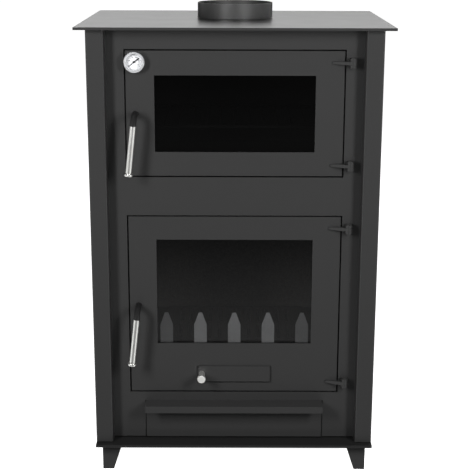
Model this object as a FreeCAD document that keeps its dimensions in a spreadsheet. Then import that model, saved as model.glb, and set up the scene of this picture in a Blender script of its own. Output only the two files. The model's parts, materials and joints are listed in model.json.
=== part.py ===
"""Wood cookstove with an oven over a firebox, as an assembly of separate sheet-steel pieces.

Frame, in millimetres: X to the right seen from the front, Y to the back, Z up.
The origin is on the floor, below the middle of the cooking plate.
"""
import FreeCAD
import Part
import Sketcher
import os
import re

DIMENSIONS = [
    # Whole stove and cooking plate
    ("plate_width", 600, "cooking plate, side to side"),
    ("plate_depth", 460, "cooking plate, front to back"),
    ("plate_thickness", 5, "cooking plate"),
    ("plate_corner", 3, "corner radius of the cooking plate"),
    ("stove_height", 900, "floor to the top of the cooking plate"),
    ("overhang", 20, "cooking plate past the casing, all round"),
    ("edge_round", 0.8, "broken edge on plates that a hand meets"),
    # Flue collar
    ("flue_bore", 150, "inside diameter of the flue collar"),
    ("collar_wall", 2, "wall of the flue collar"),
    ("collar_height", 30, "flue collar above the plate"),
    ("flue_setback", 45, "flue centre behind the middle of the plate"),
    ("pipe_ledge", 5, "ring of plate that the flue pipe stands on"),
    # Outer casing
    ("casing_sheet", 2, "side casing sheet"),
    ("post_width", 34, "front face of a side casing"),
    ("rear_flange", 22, "rear flange of a side casing"),
    ("bend_radius", 3, "outer radius of the casing bends"),
    ("panel_recess", 26, "front panel behind the casing's front faces"),
    ("panel_sheet", 3, "front panel sheet"),
    ("panel_lap", 16, "front panel behind each casing's return"),
    ("rear_sheet", 1.5, "rear panel sheet"),
    ("rear_margin", 6, "rear panel inside the casing's outline"),
    ("screw_radius", 2, "rear panel screw shank"),
    ("screw_head_radius", 4.2, "rear panel screw head"),
    ("screw_head_height", 2.4, "rear panel screw head"),
    ("screw_length", 8, "rear panel screw shank length"),
    ("screw_clearance", 0.1, "room round a screw in its hole"),
    ("screw_margin", 40, "first screw from the rear panel's edge"),
    # Base plate and feet
    ("base_thickness", 6, "base plate"),
    ("base_nose", 14, "base plate in front of the casing"),
    ("foot_height", 57, "foot"),
    ("foot_sheet", 3, "foot sheet"),
    ("foot_top", 41, "width of a foot at the top"),
    ("foot_bottom", 22.5, "width of a foot at the floor"),
    ("foot_inset", 11, "foot inside the casing's side"),
    ("foot_setback", 8, "foot behind the casing's front and rear"),
    # Smoke chamber
    ("wall_sheet", 3, "inner walls"),
    ("rear_air_gap", 20, "inner rear wall inside the casing's rear"),
    # Doors, shared sizes
    ("door_margin", 37.5, "front panel beside a door"),
    ("door_width", "=plate_width - 2 * (overhang + post_width + door_margin)", "both doors"),
    ("door_sheet", 4, "door plate"),
    ("door_gap", 2.5, "gap round a door"),
    ("panel_head", 41.5, "front panel above the oven door"),
    ("door_spacing", 81.5, "front panel between the doors"),
    ("oven_door_height", 241.5, "oven door"),
    ("oven_door_bottom", "=stove_height - plate_thickness - panel_head - oven_door_height", "above floor"),
    ("fire_door_bottom", 165, "above the floor"),
    ("fire_door_height", "=oven_door_bottom - door_spacing - fire_door_bottom", "fire door"),
    ("window_side", 54.5, "door plate beside a window"),
    ("window_width", "=door_width - 2 * window_side", "window cut-outs"),
    ("window_drop", 47, "window below the door's upper edge"),
    ("oven_sill", 47, "oven door below its window"),
    ("oven_window_height", "=oven_door_height - window_drop - oven_sill", "oven door window"),
    ("fire_sill", 102.5, "fire door below its window"),
    ("fire_window_height", "=fire_door_height - window_drop - fire_sill", "fire door window"),
    ("glass_thickness", 4, "window glass"),
    ("glass_lap", 12, "glass past the window on each side"),
    ("gasket_thickness", 1.5, "flat gasket between door and glass"),
    ("gasket_width", 9, "flat gasket"),
    ("clip_sheet", 1.5, "glass clips"),
    ("clip_width", 18, "glass clips"),
    ("clip_foot", 12, "clip on the door plate"),
    ("clip_reach", 8, "clip over the glass"),
    ("clip_room", 0.5, "clip's riser to the edge of the glass"),
    ("clip_margin", 29, "outer clips from the window's sides"),
    ("clip_pitch", "=window_width / 2 - clip_margin", "spacing of the clips"),
    # Door frames and rope seals
    ("seal_space", 7, "door plate to the frame it closes on"),
    ("seal_width", 7.5, "rope seal"),
    ("seal_room", 0.3, "rope seal to the frame and the door's edge"),
    ("seal_round", 2.5, "rounding of the rope seal"),
    ("frame_sheet", 3, "door frame sheet"),
    ("frame_lip", 10, "door frame lip inside the panel's cut-out"),
    ("frame_setback", "=panel_recess + door_sheet + seal_space + frame_sheet", "behind the casing's face"),
    ("chamber_depth", "=plate_depth - 2 * overhang - frame_setback - rear_air_gap - wall_sheet", "inside"),
    # Hinges
    ("hinge_offset", 14.5, "hinge axis outside the door's edge"),
    ("hinge_proud", 11, "hinge axis in front of the panel"),
    ("hinge_inset", 22, "hinge from the door's upper or lower edge"),
    ("knuckle_radius", 6.5, "hinge knuckles"),
    ("hinge_height", 18, "hinge bracket"),
    ("eye_height", 6.5, "eye of a hinge arm"),
    ("eye_room", 0.3, "eye to the bracket"),
    ("pin_radius", 2.5, "hinge pin"),
    ("pin_clearance", 0.05, "room round a hinge pin"),
    ("pin_head", 1.5, "hinge pin past the bracket"),
    ("arm_length", 38, "hinge arm from the axis to its tip"),
    ("arm_foot", 20, "hinge arm's flat on the door"),
    ("arm_tip", 3, "thickness of the arm's tip"),
    ("arm_point", 4, "height of the arm's blunt tip"),
    # Handles and latches
    ("spindle_inset", 17.8, "spindle from the door's free edge"),
    ("spindle_radius", 6, "handle rod"),
    ("spindle_clearance", 0.08, "room round the rod in the door"),
    ("handle_reach", 36.5, "grip in front of the door"),
    ("handle_bend", 13, "bend of the handle rod"),
    ("handle_tilt", 6.4, "handle from the vertical at rest, in degrees"),
    ("grip_start", 18, "grip below the spindle"),
    ("grip_length", 91, "grip"),
    ("grip_radius", 6.3, "grip"),
    ("tang_radius", 4, "rod inside the grip"),
    ("tang_clearance", 0.05, "room round the tang"),
    ("cap_radius", 8.8, "grip's end cap"),
    ("cap_height", 6, "grip's end cap"),
    ("cap_round", 1.8, "rounding of the end cap"),
    ("cam_radius", 7.6, "latch cam's hub"),
    ("cam_sheet", 4, "latch cam"),
    ("cam_room", 1.2, "cam to the frame"),
    ("cam_finger", 6, "width of the cam's finger"),
    # Thermometer
    ("gauge_inset", 17.8, "thermometer from the door's free edge"),
    ("gauge_drop", 21, "thermometer below the door's upper edge"),
    ("gauge_radius", 20, "thermometer's rim"),
    ("gauge_depth", 14, "thermometer in front of the door"),
    ("gauge_wall", 1.6, "thermometer's rim"),
    ("gauge_floor", 5.5, "dial in front of the door"),
    ("rim_height", 4.5, "thermometer's rim, front to back"),
    ("dial_sheet", 0.6, "dial"),
    ("lens_thickness", 1.5, "lens"),
    ("gauge_lip", 1.2, "rim in front of the lens"),
    ("gauge_room", 0.1, "room round the dial and the lens"),
    ("probe_radius", 3, "thermometer's probe"),
    ("probe_length", 62, "probe behind the door's face"),
    ("probe_clearance", 0.2, "room round the probe in the door"),
    ("needle_length", 15, "needle from its hub to its tip"),
    ("needle_tail", 11, "needle's counterweight end"),
    ("needle_width", 2.4, "needle's counterweight end"),
    ("needle_neck", 1.2, "needle beside its hub"),
    ("needle_tip", 0.6, "needle's tip"),
    ("needle_sheet", 0.6, "needle"),
    ("needle_lift", 1.2, "needle in front of the dial"),
    ("needle_angle", 38, "tip below the horizontal at rest, in degrees"),
    ("hub_radius", 1.8, "needle's hub"),
    ("arbor_radius", 0.7, "needle's arbor"),
    ("arbor_length", 2.5, "arbor behind the dial"),
    ("arbor_clearance", 0.05, "room round the arbor"),
    # Air slide
    ("slide_width", 145, "air slide plate"),
    ("slide_height", 33, "air slide plate"),
    ("slide_sheet", 3, "air slide plate"),
    ("slide_centre", 203, "air slide above the floor"),
    ("slide_room", 0.2, "air slide to the door"),
    ("slide_travel", 60, "air slide to the right"),
    ("knob_inset", 7, "knob from the plate's left end"),
    ("pin_spacing", 56, "knob's stem to the second guide pin"),
    ("stem_radius", 4.5, "knob's stem and guide pin"),
    ("stem_room", 0.5, "stem in the air slot"),
    ("knob_length", 32, "knob in front of the plate"),
    ("knob_neck", 6.2, "radius of the knob between plate and cap"),
    ("knob_radius", 8.2, "knob's cap"),
    ("knob_cap", 10, "knob's cap, front to back"),
    ("keeper_height", 20, "keeper behind the air slot"),
    ("keeper_end", 8, "keeper past its pins"),
    # Ash drawer
    ("drawer_inset", 29.5, "drawer's front inside the doors' width"),
    ("drawer_width", "=door_width - 2 * drawer_inset", "ash drawer's front"),
    ("drawer_top", 145, "ash drawer's lip above the floor"),
    ("drawer_sheet", 2, "ash drawer's front"),
    ("drawer_seat", 0.2, "drawer's front to the front panel"),
    ("drawer_lift", 0.8, "drawer's front above the base plate"),
    ("lip_reach", 36, "drawer's lip in front of the panel"),
    ("lip_drop", 14, "drawer's lip, folded down"),
    ("tray_inset", 9, "tray inside the drawer's front"),
    ("tray_room", 3, "front panel's notch round the tray"),
    ("tray_width", "=drawer_width - 2 * tray_inset", "ash tray"),
    ("tray_rear_room", 44, "tray to the inner rear wall"),
    ("tray_depth", "=chamber_depth + frame_setback - panel_recess + drawer_seat - tray_rear_room", "tray"),
    ("tray_sheet", 1.5, "ash tray"),
    ("tray_top", 136, "ash tray's rim above the floor"),
    ("runner_sheet", 2, "drawer runners"),
    ("runner_height", 28, "drawer runners"),
    ("runner_foot", 20, "drawer runners, under the tray"),
    ("runner_room", 0.3, "tray to a runner"),
    # Oven
    ("oven_sheet", 2, "oven box"),
    ("smoke_way", 35, "oven to the inner rear wall"),
    ("oven_depth", "=chamber_depth - oven_sheet - smoke_way", "oven inside"),
    ("rail_sheet", 1.5, "rack rails"),
    ("rail_leg", 12, "rack rails"),
    ("rail_setback", 20, "rails from the oven's mouth and back"),
    ("rail_length", "=oven_depth - 2 * rail_setback", "rack rails"),
    ("rack_height", 80, "rack rails above the oven floor"),
    ("rack_room", 2, "rack to the oven's sides"),
    ("rack_bar", 3, "radius of the rack's border"),
    ("rack_wire", 1.75, "radius of the rack's wires"),
    ("rack_end_room", 5, "rack inside the rails' ends"),
    ("rack_depth", "=rail_length - 2 * rack_end_room", "rack, front to back"),
    ("rack_wires", 13, "wires of the rack"),
    # Firebox
    ("hearth_height", 230, "hearth above the floor"),
    ("hearth_sheet", 4, "hearth plate"),
    ("brick_thickness", 25, "firebricks"),
    ("brick_drop", 70.5, "firebricks below the fire door's upper edge"),
    ("brick_height", "=fire_door_bottom + fire_door_height - brick_drop - hearth_height", "firebricks"),
    ("brick_chamfer", 4, "firebrick edges"),
    ("brick_setback", 20, "side bricks behind the door frame"),
    ("grate_width", 300, "grate"),
    ("grate_thickness", 12, "grate"),
    ("grate_ledge", 10, "grate on the hearth plate, each side"),
    ("grate_setback", 75, "grate behind the door frame"),
    ("grate_rear_room", 27, "grate to the rear firebrick"),
    ("grate_depth", "=chamber_depth - grate_setback - brick_thickness - grate_rear_room", "grate"),
    ("slot_width", 9, "grate slots"),
    ("slot_pitch", 21, "grate slots"),
    ("slot_count", 12, "grate slots in a row"),
    ("slot_margin", 18, "grate slots from the grate's edge and middle"),
    # Log guard
    ("guard_setback", 40, "log guard behind the door frame"),
    ("guard_sheet", 3, "log guard"),
    ("guard_inset", 76, "log guard's end from the inner wall"),
    ("guard_width", "=plate_width - 2 * (overhang + post_width + guard_inset)", "log guard"),
    ("guard_rail", 15, "log guard's lower rail"),
    ("guard_foot", 22, "log guard's foot"),
    ("picket_count", 5, "pickets"),
    ("picket_margin", 31, "outer pickets from the guard's ends"),
    ("picket_pitch", "=(guard_width - 2 * picket_margin) / (picket_count - 1)", "pickets"),
    ("picket_width", 26, "pickets"),
    ("picket_tip", 7, "width of a picket's tip"),
    ("picket_shoulder", 58, "picket's shoulder above the hearth"),
    ("picket_height", 84, "picket's tip above the hearth"),
]

doc = FreeCAD.newDocument("wood_cookstove")
sheet = doc.addObject("Spreadsheet::Sheet", "Sizes")
for row, (alias, content, note) in enumerate(DIMENSIONS, start=1):
    sheet.set(f"A{row}", str(content))
    sheet.setAlias(f"A{row}", alias)
    sheet.set(f"B{row}", note)
doc.recompute()
ALIASES = {alias for alias, content, note in DIMENSIONS}
FRONT, PLAN, SIDE = "XZ_Plane", "XY_Plane", "YZ_Plane"
# Two places count as the same within this many millimetres
SAME = 1e-3
pieces = []

# Places that several pieces share, as expressions of the sheet's sizes
HALF = "(plate_width / 2 - overhang)"
POST_FRONT = "(overhang - plate_depth / 2)"
REAR = "(plate_depth / 2 - overhang)"
PANEL_FACE = f"({POST_FRONT} + panel_recess)"
PANEL_BACK = f"({PANEL_FACE} + panel_sheet)"
BASE_TOP = "(foot_height + base_thickness)"
PLATE_UNDER = "(stove_height - plate_thickness)"
CUT_HALF = "(door_width / 2 + door_gap)"
MOUTH_HALF = f"({CUT_HALF} - frame_lip)"
FRAME_BACK = f"({POST_FRONT} + frame_setback)"
LIP_FACE = f"({FRAME_BACK} - frame_sheet)"
CHAMBER_HALF = f"({HALF} - post_width)"
CHAMBER_REAR = f"({REAR} - rear_air_gap - wall_sheet)"
HINGE_X = "(door_width / 2 + hinge_offset)"
HINGE_Y = f"({PANEL_FACE} - hinge_proud)"
SPINDLE_X = "(spindle_inset - door_width / 2)"
DRAWER_BOTTOM = f"({BASE_TOP} + drawer_lift)"
TRAY_BOTTOM = f"({BASE_TOP} + runner_sheet + runner_room)"
KNOB_X = "(knob_inset - slide_width / 2)"
GAUGE_X = "(gauge_inset - door_width / 2)"


def named(expression):
    """The expression with every size's name led by the sheet it stands in."""
    return re.sub(r"[a-z_]+", lambda m: f"Sizes.{m[0]}" if m[0] in ALIASES else m[0], expression)


def value(expression):
    """What an expression of the sheet's sizes comes to now."""
    return float(sheet.evalExpression(expression))


def bind(thing, prop, expression):
    thing.setExpression(prop, named(expression))


def place(thing, x="0", y="0", z="0"):
    for axis, expression in zip("xyz", (x, y, z)):
        bind(thing, f"Placement.Base.{axis}", expression)


def new_body(label, x="0", y="0", z="0", kept=True):
    body = doc.addObject("PartDesign::Body", label)
    body.Label = label
    place(body, x, y, z)
    if kept:
        pieces.append(body)
    return body


def new_group(label, members):
    """One node of several separate solids."""
    group = doc.addObject("Part::Compound", label)
    group.Label = label
    group.Links = members
    pieces.append(group)
    return group


def sketch_on(body, role, offset="0"):
    """A sketch on one of the body's own planes, moved along that plane's world axis."""
    plane = next(f for f in body.Origin.OriginFeatures if f.Role == role)
    sketch = body.newObject("Sketcher::SketchObject", "outline")
    sketch.AttachmentSupport = [(plane, "")]
    sketch.MapMode = "FlatFace"
    bind(sketch, "AttachmentOffset.Base.z", f"-({offset})" if role == FRONT else offset)
    return sketch


def fix_point(sketch, curve, end, x, y):
    for kind, expression in (("DistanceX", x), ("DistanceY", y)):
        index = sketch.addConstraint(Sketcher.Constraint(kind, -1, 1, curve, end, value(expression)))
        bind(sketch, f"Constraints[{index}]", expression)


def draw_polygon(sketch, corners):
    points = [FreeCAD.Vector(value(x), value(y), 0) for x, y in corners]
    ends = zip(points, points[1:] + points[:1])
    lines = [sketch.addGeometry(Part.LineSegment(a, b), False) for a, b in ends]
    for first, second in zip(lines, lines[1:] + lines[:1]):
        sketch.addConstraint(Sketcher.Constraint("Coincident", first, 2, second, 1))
    for line, (x, y) in zip(lines, corners):
        fix_point(sketch, line, 1, x, y)


def draw_rectangle(sketch, left, low, right, high):
    draw_polygon(sketch, [(left, low), (right, low), (right, high), (left, high)])


def draw_circle(sketch, x, y, radius):
    centre = FreeCAD.Vector(value(x), value(y), 0)
    circle = sketch.addGeometry(Part.Circle(centre, FreeCAD.Vector(0, 0, 1), value(radius)), False)
    fix_point(sketch, circle, 3, x, y)
    index = sketch.addConstraint(Sketcher.Constraint("Radius", circle, value(radius)))
    bind(sketch, f"Constraints[{index}]", radius)


def raise_from(sketch, length, forward=True, kind="Pad"):
    """A pad or pocket of the sketch. Forward is +X, +Y or +Z for a pad."""
    body = sketch.getParentGeoFeatureGroup()
    feature = body.newObject(f"PartDesign::{kind}", kind.lower())
    feature.Profile = sketch
    bind(feature, "Length", length)
    along_normal = forward != (sketch.AttachmentSupport[0][0].Role == FRONT)
    feature.Reversed = along_normal if kind == "Pocket" else not along_normal
    doc.recompute()
    return feature


def cut_into(sketch, length, forward=True):
    return raise_from(sketch, length, forward, "Pocket")


def turn(sketch):
    """A full turn of a profile about the body's Y axis."""
    body = sketch.getParentGeoFeatureGroup()
    feature = body.newObject("PartDesign::Revolution", "turned")
    feature.Profile = sketch
    feature.ReferenceAxis = (sketch, ["V_Axis"])
    feature.Angle = 360
    doc.recompute()
    return feature


def soften(body, radius, chosen, kind="Fillet"):
    """Rounds or chamfers the body's edges that the test picks."""
    base = body.Tip
    edges = [f"Edge{n}" for n, edge in enumerate(base.Shape.Edges, start=1) if chosen(edge)]
    feature = body.newObject(f"PartDesign::{kind}", kind.lower())
    feature.Base = (base, edges)
    bind(feature, "Radius" if kind == "Fillet" else "Size", radius)
    doc.recompute()
    return feature


def is_upright(edge, *spots):
    """True for an edge along Z, at one of the given X, Y spots if there are any."""
    box = edge.BoundBox
    if box.XLength + box.YLength > SAME:
        return False
    return not spots or any(abs(box.XMin - x) + abs(box.YMin - y) < SAME for x, y in spots)


def lies_at(edge, axis, spot):
    """True for an edge that lies in the plane where the axis has the given place."""
    box = edge.BoundBox
    low, high = getattr(box, f"{axis}Min"), getattr(box, f"{axis}Max")
    return abs(low - spot) < SAME and abs(high - spot) < SAME


def block(label, x, y, z):
    """A plain rectangular piece, from three pairs of limits."""
    body = new_body(label)
    outline = sketch_on(body, PLAN, z[0])
    draw_rectangle(outline, x[0], y[0], x[1], y[1])
    raise_from(outline, f"{z[1]} - {z[0]}")
    return body


def make_cooking_plate():
    body = new_body("top_plate")
    outline = sketch_on(body, PLAN, PLATE_UNDER)
    draw_rectangle(outline, "-plate_width / 2", "-plate_depth / 2", "plate_width / 2", "plate_depth / 2")
    draw_circle(outline, "0", "flue_setback", "flue_bore / 2 - pipe_ledge")
    raise_from(outline, "plate_thickness")
    end = value("plate_width / 2")
    soften(body, "plate_corner", lambda e: is_upright(e) and abs(abs(e.BoundBox.XMin) - end) < SAME)
    top = value("stove_height")
    soften(body, "edge_round", lambda e: lies_at(e, "Z", top))

    collar = new_body("flue_collar", y="flue_setback", z="stove_height")
    ring = sketch_on(collar, PLAN)
    draw_circle(ring, "0", "0", "flue_bore / 2")
    draw_circle(ring, "0", "0", "flue_bore / 2 + collar_wall")
    raise_from(ring, "collar_height")


def make_side_casing(label, side):
    """A folded side: front face, return to the front panel, side wall and rear flange."""
    def across(inset):
        return f"{side} * ({HALF} - ({inset}))"

    body = new_body(label)
    outline = sketch_on(body, PLAN, BASE_TOP)
    draw_polygon(outline, [
        (across("post_width"), PANEL_FACE),
        (across("post_width"), POST_FRONT),
        (across("0"), POST_FRONT),
        (across("0"), REAR),
        (across("rear_flange"), REAR),
        (across("rear_flange"), f"{REAR} - casing_sheet"),
        (across("casing_sheet"), f"{REAR} - casing_sheet"),
        (across("casing_sheet"), f"{POST_FRONT} + casing_sheet"),
        (across("post_width - casing_sheet"), f"{POST_FRONT} + casing_sheet"),
        (across("post_width - casing_sheet"), PANEL_FACE),
    ])
    raise_from(outline, f"{PLATE_UNDER} - {BASE_TOP}")
    bends = [("post_width", POST_FRONT), ("0", POST_FRONT), ("0", REAR)]
    outer = [(value(across(inset)), value(y)) for inset, y in bends]
    soften(body, "bend_radius", lambda e: is_upright(e, *outer))
    inner = [("post_width - casing_sheet", f"{POST_FRONT} + casing_sheet"),
             ("casing_sheet", f"{POST_FRONT} + casing_sheet"), ("casing_sheet", f"{REAR} - casing_sheet")]
    inside = [(value(across(inset)), value(y)) for inset, y in inner]
    soften(body, "bend_radius - casing_sheet", lambda e: is_upright(e, *inside))
    holes = sketch_on(body, FRONT, REAR)
    for height in screw_heights():
        draw_circle(holes, across("rear_flange / 2 + casing_sheet"), height, "screw_radius + screw_clearance")
    cut_into(holes, "casing_sheet", forward=False)


def screw_heights():
    """Four heights at which the rear panel is screwed to each casing."""
    low, high = f"({BASE_TOP} + screw_margin)", f"({PLATE_UNDER} - screw_margin)"
    return [f"{low} + ({high} - {low}) * {n} / 3" for n in range(4)]


def make_rear_panel():
    body = new_body("rear_panel")
    outline = sketch_on(body, FRONT, REAR)
    edge = f"({HALF} - rear_margin)"
    draw_rectangle(outline, f"-{edge}", f"{BASE_TOP} + rear_margin", edge, f"{PLATE_UNDER} - rear_margin")
    screw_x = f"({HALF} - rear_flange / 2 - casing_sheet)"
    spots = [(f"{side} * {screw_x}", height) for side in (-1, 1) for height in screw_heights()]
    for x, height in spots:
        draw_circle(outline, x, height, "screw_radius + screw_clearance")
    raise_from(outline, "rear_sheet")
    screws = []
    for number, (x, height) in enumerate(spots):
        screw = new_body(f"rear_panel_screw_{number}", x, f"{REAR} + rear_sheet", height, kept=False)
        head = sketch_on(screw, FRONT)
        draw_circle(head, "0", "0", "screw_head_radius")
        raise_from(head, "screw_head_height")
        top = value("screw_head_height")
        soften(screw, "screw_head_height / 2", lambda e: lies_at(e, "Y", top))
        shank = sketch_on(screw, FRONT)
        draw_circle(shank, "0", "0", "screw_radius")
        raise_from(shank, "screw_length", forward=False)
        screws.append(screw)
    new_group("rear_panel_screws", screws)


def make_front_panel():
    """The recessed front, cut out for both doors and notched from below for the ash tray."""
    body = new_body("front_panel")
    outline = sketch_on(body, FRONT, PANEL_FACE)
    wide = f"({CHAMBER_HALF} + panel_lap)"
    notch = "(tray_width / 2 + tray_room)"
    notch_top = "(tray_top + tray_room)"
    draw_polygon(outline, [
        (f"-{wide}", BASE_TOP), (f"-{notch}", BASE_TOP), (f"-{notch}", notch_top), (notch, notch_top),
        (notch, BASE_TOP), (wide, BASE_TOP), (wide, PLATE_UNDER), (f"-{wide}", PLATE_UNDER),
    ])
    for door in ("oven", "fire"):
        low, high = cut_out(door)
        draw_rectangle(outline, f"-{CUT_HALF}", low, CUT_HALF, high)
    raise_from(outline, "panel_sheet")


def cut_out(door):
    """Lower and upper edge of the panel's cut-out for a door."""
    low = f"({door}_door_bottom - door_gap)"
    return low, f"({low} + {door}_door_height + 2 * door_gap)"


def make_door_frame(door):
    """The stepped frame behind a cut-out: its lip is what the rope seal closes on."""
    low, high = cut_out(door)
    body = new_body(f"{door}_door_frame")
    outline = sketch_on(body, FRONT, PANEL_BACK)
    outer = f"({CUT_HALF} + frame_sheet)"
    draw_rectangle(outline, f"-{outer}", f"{low} - frame_sheet", outer, f"{high} + frame_sheet")
    draw_rectangle(outline, f"-{CUT_HALF}", low, CUT_HALF, high)
    raise_from(outline, f"{FRAME_BACK} - {PANEL_BACK}")
    lip = sketch_on(body, FRONT, LIP_FACE)
    draw_rectangle(lip, f"-{CUT_HALF}", low, CUT_HALF, high)
    draw_rectangle(lip, f"-{MOUTH_HALF}", f"{low} + frame_lip", MOUTH_HALF, f"{high} - frame_lip")
    raise_from(lip, "frame_sheet")


def make_base_and_feet():
    nose = f"({POST_FRONT} - base_nose)"
    base = block("base_plate", (f"-{HALF}", HALF), (nose, REAR), ("foot_height", BASE_TOP))
    front = value(nose)
    soften(base, "edge_round", lambda e: lies_at(e, "Y", front) and not is_upright(e))
    rows = (("front", 1, f"{POST_FRONT} + foot_setback"), ("rear", -1, f"{REAR} - foot_setback"))
    for depth, inward, y in rows:
        for name, side in (("left", -1), ("right", 1)):
            make_foot(f"{depth}_{name}_foot", side, inward, f"{side} * ({HALF} - foot_inset)", y)


def make_foot(label, side, inward, x, y):
    """An angle of sheet, its two faces tapered down to the floor."""
    def corner(across, along):
        return f"{-side} * {across}", f"{inward} * {along}"

    body = new_body(label, x, y)
    angle = sketch_on(body, PLAN)
    draw_polygon(angle, [
        corner("0", "0"), corner("foot_top", "0"), corner("foot_top", "foot_sheet"),
        corner("foot_sheet", "foot_sheet"), corner("foot_sheet", "foot_top"), corner("0", "foot_top"),
    ])
    raise_from(angle, "foot_height")
    past = "(foot_top + foot_sheet)"
    for role, sign, through in ((FRONT, -side, inward), (SIDE, inward, -side)):
        taper = sketch_on(body, role)
        draw_polygon(taper, [
            (f"{sign} * foot_bottom", "0"), (f"{sign} * {past}", "0"),
            (f"{sign} * {past}", "foot_height"), (f"{sign} * foot_top", "foot_height"),
        ])
        cut_into(taper, past, forward=through > 0)
    soften(body, "foot_sheet / 2", lambda e: is_upright(e, (0, 0)))


def make_smoke_chamber():
    heights = (BASE_TOP, PLATE_UNDER)
    for name, side in (("left", -1), ("right", 1)):
        limits = sorted((f"{side} * {CHAMBER_HALF}", f"{side} * ({CHAMBER_HALF} + wall_sheet)"), key=value)
        block(f"{name}_inner_wall", limits, (PANEL_BACK, f"{CHAMBER_REAR} + wall_sheet"), heights)
    rear = (CHAMBER_REAR, f"{CHAMBER_REAR} + wall_sheet")
    block("rear_inner_wall", (f"-{CHAMBER_HALF}", CHAMBER_HALF), rear, heights)


def make_oven():
    low, high = cut_out("oven")
    floor, roof = f"({low} + frame_lip)", f"({high} - frame_lip)"
    oven = new_body("oven_box")
    shell = sketch_on(oven, FRONT, FRAME_BACK)
    outer = f"({MOUTH_HALF} + oven_sheet)"
    draw_rectangle(shell, f"-{outer}", f"{floor} - oven_sheet", outer, f"{roof} + oven_sheet")
    raise_from(shell, "oven_depth + oven_sheet")
    hollow = sketch_on(oven, FRONT, FRAME_BACK)
    draw_rectangle(hollow, f"-{MOUTH_HALF}", floor, MOUTH_HALF, roof)
    cut_into(hollow, "oven_depth")

    rails = []
    for name, side in (("left", -1), ("right", 1)):
        rail = new_body(f"{name}_rack_rail", f"{side} * {MOUTH_HALF}", f"{FRAME_BACK} + rail_setback",
                        f"{floor} + rack_height", kept=False)
        angle = sketch_on(rail, FRONT)
        draw_polygon(angle, [("0", "0"), (f"{-side} * rail_leg", "0"), (f"{-side} * rail_leg", "-rail_sheet"),
                             (f"{-side} * rail_sheet", "-rail_sheet"), (f"{-side} * rail_sheet", "-rail_leg"),
                             ("0", "-rail_leg")])
        raise_from(angle, "rail_length")
        rails.append(rail)
    new_group("oven_rack_rails", rails)

    rack = new_body("oven_rack", y=f"{FRAME_BACK} + rail_setback + rail_length / 2",
                    z=f"{floor} + rack_height + rack_bar")
    bar_x = f"({MOUTH_HALF} - rack_room - rack_bar)"
    sides = sketch_on(rack, FRONT, "-rack_depth / 2 - rack_bar")
    for side in ("-", ""):
        draw_circle(sides, f"{side}{bar_x}", "0", "rack_bar")
    raise_from(sides, "rack_depth + 2 * rack_bar")
    ends = sketch_on(rack, SIDE, f"-{bar_x}")
    for side in ("-", ""):
        draw_circle(ends, f"{side}rack_depth / 2", "0", "rack_bar")
    raise_from(ends, f"2 * {bar_x}")
    pitch = f"(2 * {bar_x} / (rack_wires + 1))"
    wire = sketch_on(rack, FRONT, "-rack_depth / 2")
    draw_circle(wire, f"{pitch} - {bar_x}", "0", "rack_wire")
    first = raise_from(wire, "rack_depth")
    repeat(first, wire, f"{pitch} * (rack_wires - 1)", "rack_wires")


def repeat(feature, sketch, length, count):
    """Repeats a feature along its sketch's own first axis."""
    body = sketch.getParentGeoFeatureGroup()
    row = body.newObject("PartDesign::LinearPattern", "row")
    row.Originals = [feature]
    row.Direction = (sketch, ["H_Axis"])
    bind(row, "Length", length)
    bind(row, "Occurrences", count)
    body.Tip = row
    doc.recompute()
    return row


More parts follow.
